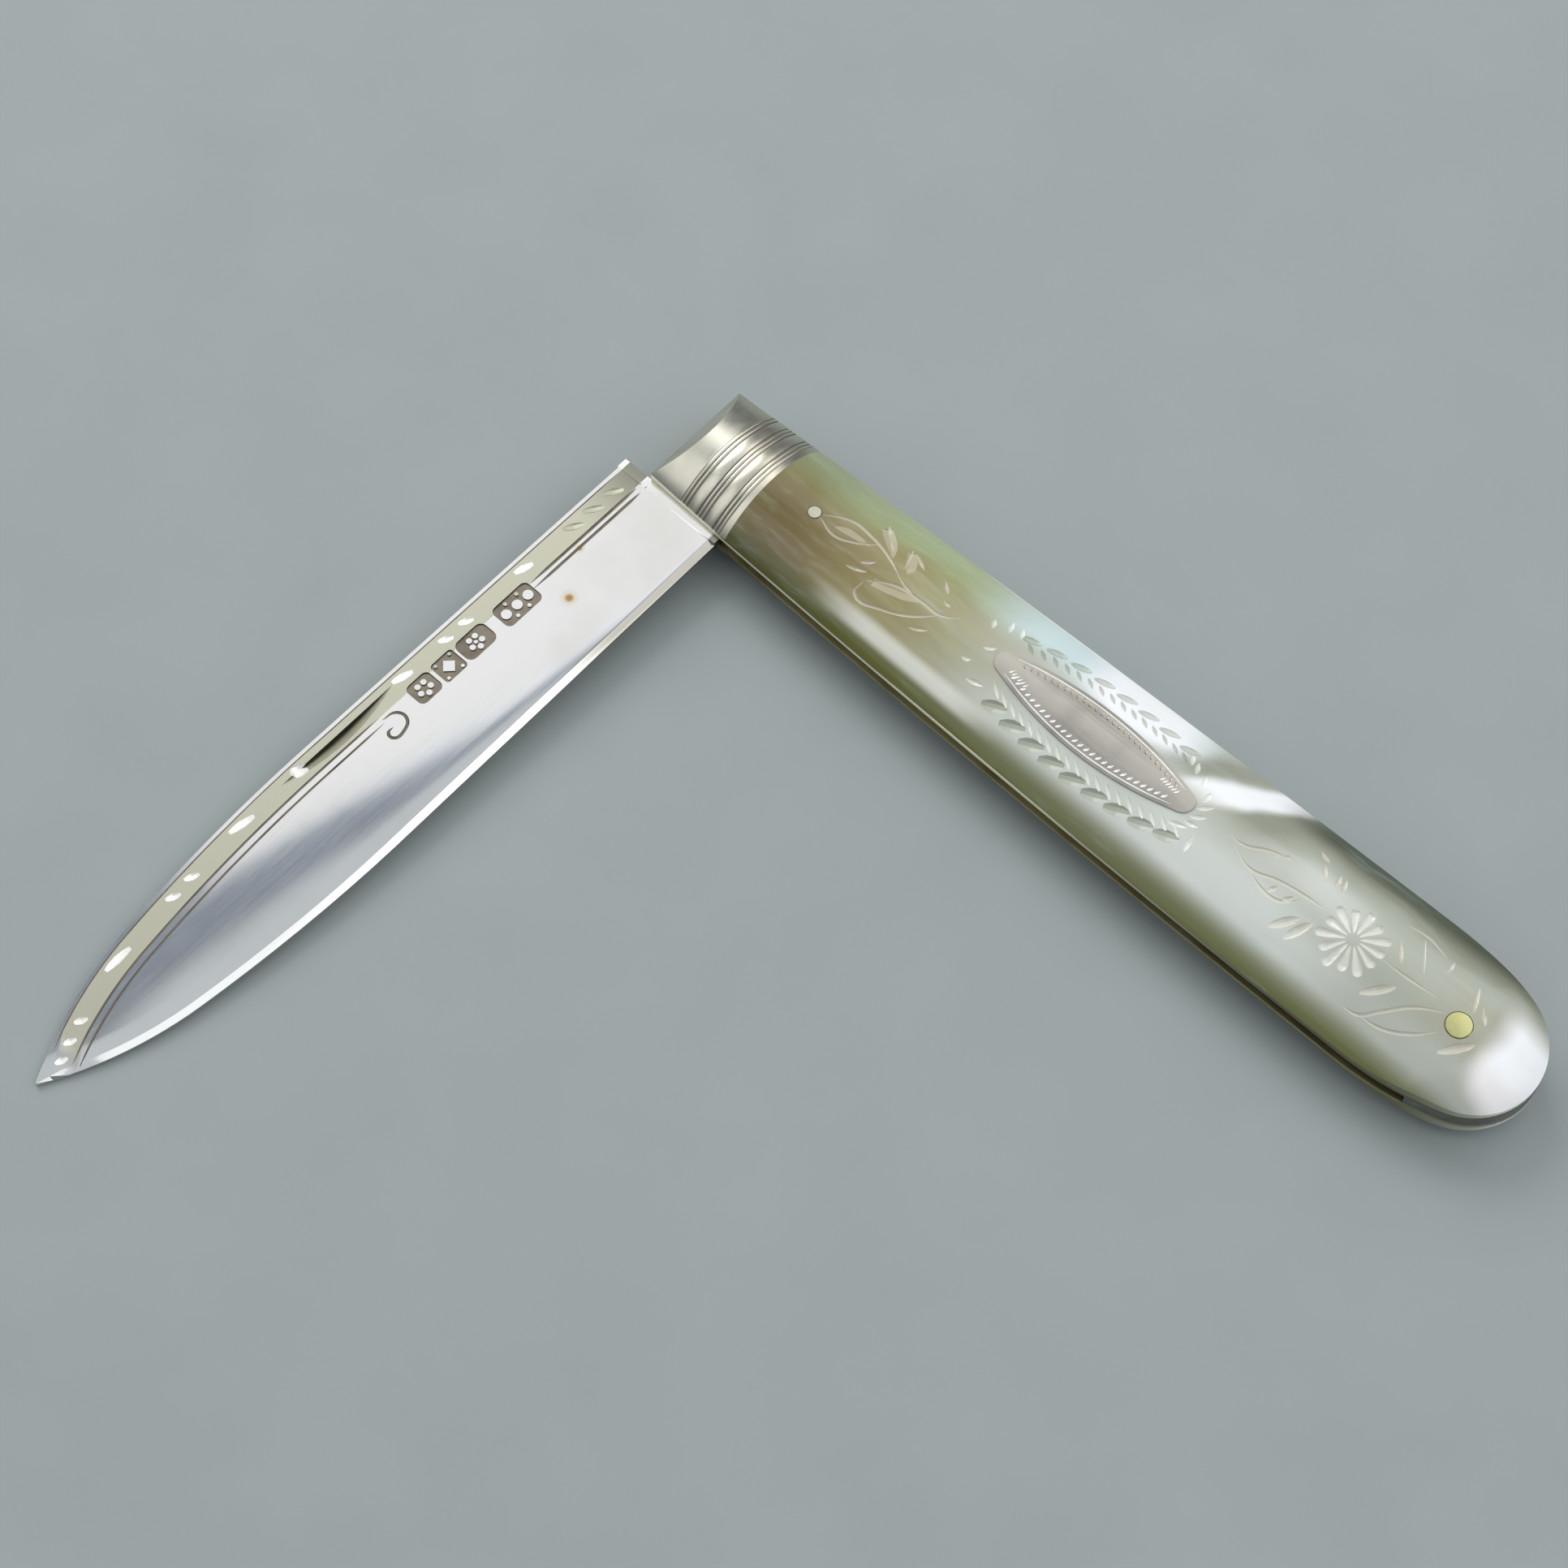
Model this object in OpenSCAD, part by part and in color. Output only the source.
// Folding fruit knife: silver leaf blade, reeded silver bolsters and mother-of-pearl scales.
// Millimetres. The knife lies on its rear scale, half open at the square stop, as it is photographed.
// X runs along the handle from the bolsters to the butt, the backspring is on +Y, the blade leaves on -Y.
// The origin is halfway along the handle, on its centre line and on the flat land it rests on.

/* [Handle] */
// Length of the closed handle, bolster end to butt
handle_l = 80; // [72:0.5:92]
// Width of the handle at the bolster end
head_w = 9.9; // [9.2:0.1:11]
// Greatest width of the handle, near the butt
butt_w = 13.2; // [12.4:0.1:14.4]
// Distance from the greatest width to the tip of the butt
butt_run = 12; // [10:0.5:15]
// Radius of the arcs that draw the sides in towards the tip of the butt
butt_side_r = 26.6; // [22:0.1:34]
// Width of the flat land along the crown of the dome, where it is widest
land_w = 3; // [2:0.1:3.4]

/* [Layers] */
// Thickness of a bolster or scale at its crown
crown_t = 2.4; // [2.1:0.1:3]
// Thickness of a bolster or scale at its rim, where the dome ends
rim_t = 0.35; // [0.25:0.05:0.6]
// Thickness of each brass liner
liner_t = 0.35; // [0.3:0.05:0.6]
// Width of the slot between the liners, which the backspring fills
slot_w = 1; // [0.9:0.05:1.4]

/* [Bolsters] */
// Length of a bolster along the handle
bolster_l = 8; // [7.4:0.1:9.5]
// Length of the sloping facet at the bolster's end, along the crown
facet_l = 1.6; // [1:0.1:2.2]
// Width of a fine bead across the bolster
bead_w = 0.35; // [0.25:0.01:0.38]
// Width of a broad reed across the bolster
reed_w = 1.05; // [0.8:0.05:1.2]
// Width of the plain flange against the scale
flange_w = 0.5; // [0.3:0.05:0.8]
// Depth of the valleys between beads and reeds
reed_depth = 0.12; // [0.06:0.01:0.16]

/* [Blade] */
// Greatest width of the blade
blade_w = 10.6; // [10.2:0.1:11.2]
// Width of the blade at its heel
heel_w = 10.1; // [9.6:0.1:10.4]
// Distance from the closed blade's tip to the butt
tip_room = 7.5; // [7:0.1:9]
// Distance from the tip at which the blade starts to narrow
belly_run = 30; // [24:0.5:40]
// Distance from the tip at which the sides turn into the point
tip_run = 12; // [9:0.5:15]
// Slope of the sides where they turn into the point, in degrees
tip_slope = 7.4; // [6:0.1:9]
// Share of the thickness that the faces lose from the spine to the edge
face_taper = 0.4; // [0.2:0.05:0.6]
// Share of the thickness that the faces lose from the heel to the tip
tip_taper = 0.35; // [0.1:0.05:0.5]
// Width of the ground bevel along the cutting edge
edge_bevel = 0.55; // [0.3:0.05:0.9]
// Thickness left at the cutting edge
edge_t = 0.16; // [0.1:0.02:0.3]
// Width of the small chamfer along the spine
spine_bevel = 0.12; // [0.06:0.01:0.2]
// Length by which the point is blunted
point_blunt = 0.12; // [0.08:0.01:0.2]
// Length of the nail nick
nick_l = 11.3; // [8:0.1:14]
// Depth of the nail nick
nick_depth = 0.32; // [0.2:0.02:0.4]
// Distance from the pivot to the middle of the nail nick
nick_at = 35; // [28:0.5:40]
// Distance from the spine to the straight side of the nail nick
nick_in = 0.85; // [0.5:0.05:1.4]

/* [Tang and backspring] */
// Thickness of the backspring's nose over the tang
spring_nose_t = 3.3; // [2.9:0.1:3.8]
// Radius of the tang's corners, which lift the spring between stops
tang_corner_r = 1.1; // [0.6:0.1:1.6]
// Distance of the backspring's end from the bolster end
spring_set_back = 0.6; // [0.4:0.05:1]
// Length of full thickness left between the tang's shoulder and the blade
ricasso_run = 0.9; // [0.6:0.05:1.4]
// Room between the closed cutting edge and the backspring
edge_room = 0.6; // [0.4:0.05:1]
// Room between the closed tip and the backspring's butt block
tip_clear = 0.8; // [0.5:0.05:1.2]

/* [Pins] */
// Diameter of the pivot pin
pivot_d = 2; // [1.6:0.1:2.4]
// Diameter of the brass butt pin
butt_pin_d = 1.9; // [1.4:0.1:2.1]
// Distance of the butt pin from the tip of the butt
butt_pin_in = 6.6; // [5.8:0.1:7]
// Offset of the butt pin from the centre line, towards the slot
butt_pin_off = 0.4; // [0:0.1:0.6]
// Diameter of the small silver scale pins
scale_pin_d = 1; // [0.8:0.1:1.4]
// Distance of the scale pins from the bolster
scale_pin_in = 4.3; // [3:0.1:6]
// Diameter of the hidden pin in the middle of the backspring
spring_pin_d = 1.4; // [1:0.1:1.7]
// Distance of the hidden spring pin from the bolster end
spring_pin_at = 42; // [36:0.5:50]
// Diameter of the two pins under the cartouche
cartouche_pin_d = 0.8; // [0.6:0.1:1]

/* [Cartouche] */
// Length of the oval silver cartouche
cartouche_l = 18.6; // [15:0.1:22]
// Width of the oval silver cartouche
cartouche_w = 4.4; // [3.6:0.1:5]
// Distance of the cartouche's middle from the bolster end
cartouche_at = 39.7; // [34:0.1:44]
// Radius of the cartouche's ends
cartouche_end_r = 0.95; // [0.7:0.05:1.3]
// Depth of the cartouche's bed below the crown
cartouche_depth = 0.5; // [0.4:0.05:0.8]
// Height of the cartouche above the pearl
cartouche_proud = 0.12; // [0.05:0.01:0.2]
// Distance between the two cartouche pins
cartouche_pin_pitch = 13; // [10:0.5:14]

/* [Clearances] */
// Radial play of the tang on the pivot pin
pivot_play = 0.03; // [0.02:0.01:0.06]
// Play between the blade and each liner
side_play = 0.05; // [0.03:0.01:0.1]
// Radial gap round a riveted pin
pin_fit = 0.01; // [0.01:0.005:0.03]
// Gap between the tang's flats and the backspring
stop_gap = 0.02; // [0.01:0.01:0.05]
// Gap round the cartouche in its bed
cartouche_fit = 0.03; // [0.02:0.01:0.08]

/* [Hidden] */

$fn = 96;
// Smoothness of the long arcs of an oval
long_arc_fn = 360;
// Number of straight runs that make up the long curve of each side
side_steps = 8;
// Overlap of cutting tools beyond the faces they cut
over = 1;

// Heights of the layers, from the rest plane up
rear_liner_z = crown_t;
slot_z = rear_liner_z + liner_t;
front_liner_z = slot_z + slot_w;
front_crown_z = front_liner_z + liner_t;
top_z = front_crown_z + crown_t;
mid_z = top_z / 2;

// Plan of the handle: a long arc from the head to the greatest width, then the butt
widest_x = handle_l - butt_run;
half_butt = butt_w / 2;
side_drop = (butt_w - head_w) / 2;
side_r = (widest_x * widest_x + side_drop * side_drop) / (2 * side_drop);
function half_width(x) = half_butt - side_r + sqrt(side_r * side_r - (widest_x - x) * (widest_x - x));
function side_point(i, side) = [widest_x * i / side_steps, side * half_width(widest_x * i / side_steps)];

// Radius of the rounded tip of the butt, tangent to both arcs
nose_r = (2 * butt_side_r * half_butt - butt_run * butt_run - half_butt * half_butt)
    / (2 * (butt_side_r - butt_run));

// The dome is a slender cone with a level crown line that ends in a ball over the butt
half_land = land_w / 2;
rim_z = front_crown_z + rim_t;
ball_rise = ((half_butt * half_butt - half_land * half_land) / (top_z - rim_z) + top_z - rim_z) / 2;
ball_r = norm([ball_rise, half_land]);
dome_top_z = top_z + ball_r - ball_rise;
ball_at = [handle_l - half_butt, 0, dome_top_z - ball_r];
head_drop = dome_top_z - rim_z;
head_dome_r = (head_w * head_w / 4 + head_drop * head_drop) / (2 * head_drop);
dome_tilt = asin((ball_r - head_dome_r) / ball_at[0]);
function cone_r(d) = (ball_r - d * sin(dome_tilt)) / cos(dome_tilt);

// The tang is a square whose three flats stand the same distance from the pivot
pivot_x = bolster_l / 2;
tang_flat = (heel_w - spring_nose_t) / 2;
pivot_y = half_width(pivot_x) - spring_nose_t - tang_flat;
shoulder_u = pivot_x - spring_set_back - stop_gap;
heel_u = shoulder_u + ricasso_run;

// The blade in its own plane: u from the pivot to the tip, v from the spine to the edge
blade_l = handle_l - pivot_x - tip_room;
blade_t = slot_w - 2 * side_play;
blade_axis_v = tang_flat - heel_w / 2;
spine_v = blade_axis_v - heel_w / 2;
half_blade = blade_w / 2;
belly_r = (belly_run - tip_run) / sin(tip_slope);
tip_joint_w = half_blade - belly_r * (1 - cos(tip_slope));
tip_chord_slope = atan(tip_joint_w / tip_run);
tip_r = norm([tip_run, tip_joint_w]) / (2 * sin(tip_chord_slope - tip_slope));
// Half width of the blade at a distance from its tip
function arc_drop(r, slope, run) = r * (cos(slope) - sqrt(1 - pow(sin(slope) + run / r, 2)));
function half_blade_at(d) =
    d > belly_run ? half_blade - (blade_w - heel_w) / 2 * (d - belly_run) / (blade_l - heel_u - belly_run)
    : d > tip_run ? half_blade - arc_drop(belly_r, 0, belly_run - d)
    : tip_joint_w - arc_drop(tip_r, tip_slope, tip_run - d);

// Distances from the tip at which the blade's section is drawn; the first one lies inside the heel
tip_steps = 12;
belly_steps = 8;
stations = concat(
    [blade_l - heel_u + ricasso_run / 2, blade_l - heel_u],
    [for (i = [0 : belly_steps]) belly_run + (tip_run - belly_run) * i / belly_steps],
    [for (i = [1 : tip_steps]) tip_run + (point_blunt - tip_run) * i / tip_steps]);

// Faces of the backspring in the plane of the slot
spring_end_x = pivot_x - shoulder_u + stop_gap;
spring_pad_y = pivot_y + tang_flat + stop_gap;
spring_pad_end_x = pivot_x + tang_flat + stop_gap;
spring_belly_y = pivot_y + blade_axis_v + half_blade + edge_room;
spring_belly_x = spring_pad_end_x + 2 * (spring_belly_y - spring_pad_y);
closed_tip = [pivot_x + blade_l, pivot_y + blade_axis_v];
spring_pin_y = (spring_belly_y + half_width(spring_pin_at)) / 2;

// Beads and reeds across a bolster, counted from its plain part towards the scale
reeds = [bead_w, bead_w, reed_w, bead_w, bead_w, reed_w, bead_w, bead_w];
function sum_of(list, n) = n == 0 ? 0 : list[n - 1] + sum_of(list, n - 1);
reeds_start = bolster_l - flange_w - sum_of(reeds, len(reeds));

scale_pin_at = [bolster_l + scale_pin_in, 0];
butt_pin_at = [handle_l - butt_pin_in, -butt_pin_off];
cartouche_pins_at = [for (s = [-1, 1]) [cartouche_at + s * cartouche_pin_pitch / 2, 0]];

// The colours of the materials
silver = "gainsboro";
brass = "goldenrod";
steel = "slategray";
pearl = "beige";

// An oval of two long arcs with rounded ends
module oval(half_l, half_w, end_r) {
    run = half_l - end_r;
    arc_r = (run * run + half_w * half_w - end_r * end_r) / (2 * (half_w - end_r));
    joint_x = run * arc_r / (arc_r - end_r);
    intersection() {
        translate([0, half_w - arc_r]) circle(arc_r, $fn = long_arc_fn);
        translate([0, arc_r - half_w]) circle(arc_r, $fn = long_arc_fn);
        square([2 * joint_x, 4 * half_w], center = true);
    }
    for (s = [-1, 1]) translate([s * run, 0]) circle(end_r);
}

// Outline of the handle seen from above
module handle_plan() {
    polygon(concat(
        [for (i = [0 : side_steps]) side_point(i, -1)],
        [[widest_x + over, over - half_butt], [widest_x + over, half_butt - over]],
        [for (i = [side_steps : -1 : 0]) side_point(i, 1)]));
    intersection() {
        translate([widest_x, 0]) oval(butt_run, half_butt, nose_r);
        translate([widest_x, -butt_w]) square([butt_run + over, 2 * butt_w]);
    }
}

// Part of the handle's plan between two distances from the bolster end
module plan_between(x0, x1) {
    intersection() {
        handle_plan();
        translate([x0, -butt_w]) square([x1 - x0, 2 * butt_w]);
    }
}

// Places children on the dome's axis, which rises from the ball towards the head
module on_dome_axis() {
    translate(ball_at) rotate([0, dome_tilt - 90, 0]) children();
}

// The dome over the front of the handle, with its flat land, raised by an amount
module front_dome(raised = 0) {
    joint_d = ball_r * sin(dome_tilt);
    head_d = ball_at[0] + over;
    intersection() {
        union() {
            on_dome_axis() translate([0, 0, joint_d])
                cylinder(r1 = cone_r(joint_d) + raised, r2 = cone_r(head_d) + raised, h = head_d - joint_d);
            translate(ball_at) sphere(ball_r + raised);
        }
        translate([-over, -butt_w, front_crown_z])
            cube([handle_l + 2 * over, 2 * butt_w, crown_t + raised]);
    }
}

// Section of a bolster along the handle, below the dome's surface: plain part, beads, reeds and flange
module reeded_section() {
    depth = crown_t + over;
    translate([-depth, -over]) square([depth - reed_depth, bolster_l + 2 * over]);
    translate([-depth, -over]) square([depth, reeds_start + over]);
    translate([-depth, bolster_l - flange_w]) square([depth, flange_w + over]);
    for (i = [0 : len(reeds) - 1]) {
        half = reeds[i] / 2;
        crest_r = (half * half + reed_depth * reed_depth) / (2 * reed_depth);
        translate([-crest_r, reeds_start + sum_of(reeds, i) + half]) circle(crest_r);
    }
}

// The reeded dome over the front bolster
module reeded_dome() {
    intersection() {
        on_dome_axis() rotate_extrude()
            translate(ball_r * [cos(dome_tilt), sin(dome_tilt)]) rotate(dome_tilt)
                translate([0, ball_at[0]]) mirror([0, 1]) reeded_section();
        translate([-over, -butt_w, front_crown_z]) cube([bolster_l + over, 2 * butt_w, crown_t]);
    }
}

// The wedge above the sloping facet at the end of a bolster
module facet_cut() {
    rotate([90, 0, 0]) linear_extrude(2 * butt_w, center = true)
        polygon([[-over, rim_z], [0, rim_z], [facet_l, top_z], [facet_l, top_z + over],
            [-over, top_z + over]]);
}

// Turns a piece of the front side over to the rear side
module on_rear() {
    translate([0, 0, top_z]) mirror([0, 0, 1]) children();
}

module pin_at(p, d, z0, z1) {
    translate([p[0], p[1], z0]) cylinder(d = d, h = z1 - z0);
}

module pin_hole(p, d, gap = pin_fit) {
    pin_at(p, d + 2 * gap, -over, top_z + over);
}

// Handle parts

module bolster() {
    difference() {
        intersection() {
            translate([0, 0, front_crown_z]) linear_extrude(crown_t) plan_between(0, bolster_l);
            reeded_dome();
        }
        facet_cut();
        pin_hole([pivot_x, pivot_y], pivot_d);
    }
}

module scale() {
    difference() {
        intersection() {
            translate([0, 0, front_crown_z]) linear_extrude(crown_t) plan_between(bolster_l, handle_l);
            front_dome();
        }
        pin_hole(scale_pin_at, scale_pin_d);
        pin_hole(butt_pin_at, butt_pin_d);
    }
}

module liner() {
    difference() {
        translate([0, 0, front_liner_z]) linear_extrude(liner_t) handle_plan();
        pin_hole([pivot_x, pivot_y], pivot_d);
        pin_hole(scale_pin_at, scale_pin_d);
        pin_hole([spring_pin_at, spring_pin_y], spring_pin_d);
        pin_hole(butt_pin_at, butt_pin_d);
    }
}

module scale_pin() {
    pin_at(scale_pin_at, scale_pin_d, front_liner_z, front_crown_z);
    intersection() {
        pin_at(scale_pin_at, scale_pin_d, front_crown_z, top_z);
        front_dome();
    }
}

module cartouche_pin_holes() {
    for (p = cartouche_pins_at) pin_hole(p, cartouche_pin_d);
}

module cartouche_plan(gap = 0) {
    translate([cartouche_at, 0])
        oval(cartouche_l / 2 + gap, cartouche_w / 2 + gap, cartouche_end_r + gap);
}

module front_bolster() { color(silver) bolster(); }

module rear_bolster() { color(silver) on_rear() bolster(); }

module front_liner() {
    color(brass) difference() {
        liner();
        cartouche_pin_holes();
    }
}

module rear_liner() { color(brass) on_rear() liner(); }

module front_scale() {
    color(pearl) difference() {
        scale();
        translate([0, 0, top_z - cartouche_depth]) linear_extrude(cartouche_depth + over)
            cartouche_plan(cartouche_fit);
        cartouche_pin_holes();
    }
}

module rear_scale() { color(pearl) on_rear() scale(); }

module cartouche() {
    color(silver) intersection() {
        translate([0, 0, top_z - cartouche_depth]) linear_extrude(cartouche_depth + over)
            cartouche_plan();
        front_dome(cartouche_proud);
    }
}

module cartouche_pin(p) {
    color(silver) pin_at(p, cartouche_pin_d, front_liner_z, top_z - cartouche_depth);
}

module head_cartouche_pin() { cartouche_pin(cartouche_pins_at[0]); }

module butt_cartouche_pin() { cartouche_pin(cartouche_pins_at[1]); }

module front_scale_pin() { color(silver) scale_pin(); }

module rear_scale_pin() { color(silver) on_rear() scale_pin(); }

module spring_pin() {
    color(steel) pin_at([spring_pin_at, spring_pin_y], spring_pin_d, rear_liner_z, front_crown_z);
}

module butt_pin() {
    color(brass) {
        pin_at(butt_pin_at, butt_pin_d, rear_liner_z, front_crown_z);
        intersection() {
            pin_at(butt_pin_at, butt_pin_d, front_crown_z, top_z);
            front_dome();
        }
        on_rear() intersection() {
            pin_at(butt_pin_at, butt_pin_d, front_crown_z, top_z);
            front_dome();
        }
    }
}

module pivot_pin_end() {
    intersection() {
        pin_at([pivot_x, pivot_y], pivot_d, front_crown_z, top_z);
        reeded_dome();
    }
}

module pivot_pin() {
    color(silver) {
        pin_at([pivot_x, pivot_y], pivot_d, rear_liner_z, front_crown_z);
        pivot_pin_end();
        on_rear() pivot_pin_end();
    }
}

// Outline of the backspring: nose pad over the tang, thinner belly, and the block that closes the butt
module backspring_plan() {
    intersection() {
        handle_plan();
        polygon([
            [spring_end_x, butt_w],
            [spring_end_x, spring_pad_y],
            [spring_pad_end_x, spring_pad_y],
            [spring_belly_x, spring_belly_y],
            [closed_tip[0] - tip_run * 2 / 3, spring_belly_y],
            [closed_tip[0] + tip_clear, closed_tip[1]],
            [closed_tip[0] + 2 * tip_clear, -butt_w],
            [handle_l + over, -butt_w],
            [handle_l + over, butt_w]]);
    }
}

module backspring() {
    color(steel) difference() {
        translate([0, 0, slot_z]) linear_extrude(slot_w) backspring_plan();
        pin_hole([spring_pin_at, spring_pin_y], spring_pin_d);
        pin_hole(butt_pin_at, butt_pin_d);
    }
}

// Blade

// Half thickness of the blade's face at a place along and across it
function half_face(u, v) = blade_t / 2 * (1 - tip_taper * max(0, u - heel_u) / (blade_l - heel_u))
    * (1 - face_taper * (v - spine_v) / blade_w);

// One section across the blade, from the spine round the edge and back
function blade_section(d) =
    let (
        u = blade_l - d,
        w = half_blade_at(d),
        fade = min(1, w / (2 * edge_bevel)),
        back = spine_bevel * fade,
        bevel = edge_bevel * fade,
        v0 = blade_axis_v - w,
        v1 = blade_axis_v + w,
        h0 = half_face(u, v0 + back),
        h1 = half_face(u, v1 - bevel))
    [[u, v0, h0 - back], [u, v0 + back, h0], [u, v1 - bevel, h1], [u, v1, edge_t / 2],
        [u, v1, -edge_t / 2], [u, v1 - bevel, -h1], [u, v0 + back, -h0], [u, v0, back - h0]];

// The leaf of the blade, lofted through its sections
module leaf() {
    n = 8;
    last = len(stations) - 1;
    sides = [for (i = [0 : last - 1]) for (j = [0 : n - 1]) for (half = [0, 1])
        let (a = i * n + j, b = i * n + (j + 1) % n)
        half == 0 ? [a, b, a + n] : [b, b + n, a + n]];
    ends = [[for (j = [n - 1 : -1 : 0]) j], [for (j = [0 : n - 1]) last * n + j]];
    polyhedron([for (d = stations) each blade_section(d)], concat(sides, ends));
}

// Square tang with two rounded corners, the shoulder and the full-thickness heel
module tang_plan() {
    for (s = [-1, 1])
        translate([tang_corner_r - tang_flat, s * (tang_flat - tang_corner_r)]) circle(tang_corner_r);
    translate([-tang_flat, tang_corner_r - tang_flat])
        square([tang_flat, 2 * (tang_flat - tang_corner_r)]);
    translate([tang_corner_r - tang_flat, -tang_flat])
        square([heel_u + tang_flat - tang_corner_r, 2 * tang_flat]);
    translate([shoulder_u, spine_v]) square([heel_u - shoulder_u, heel_w]);
}

// The crescent that a wheel with a slanting rim leaves in the blade's face
module nick_cut() {
    wheel_r = (nick_l * nick_l / 4 + nick_depth * nick_depth) / (2 * nick_depth);
    rim = 3 * nick_depth;
    face_z = half_face(nick_at, spine_v + nick_in);
    translate([nick_at, spine_v + nick_in, face_z - nick_depth + wheel_r])
        rotate([-90, 0, 0]) cylinder(r1 = wheel_r, r2 = wheel_r - nick_depth * 2, h = 2 * rim, $fn = 360);
}

module blade() {
    color(silver) translate([pivot_x, pivot_y, mid_z]) rotate([0, 0, -90]) difference() {
        union() {
            translate([0, 0, -blade_t / 2]) linear_extrude(blade_t) tang_plan();
            leaf();
        }
        translate([0, 0, -slot_w]) cylinder(d = pivot_d + 2 * pivot_play, h = 2 * slot_w);
        nick_cut();
    }
}

// The whole knife, with the origin halfway along the handle
translate([-handle_l / 2, 0, 0]) {
    blade();
    pivot_pin();
    front_bolster();
    rear_bolster();
    front_liner();
    rear_liner();
    backspring();
    front_scale();
    rear_scale();
    cartouche();
    head_cartouche_pin();
    butt_cartouche_pin();
    front_scale_pin();
    rear_scale_pin();
    spring_pin();
    butt_pin();
}
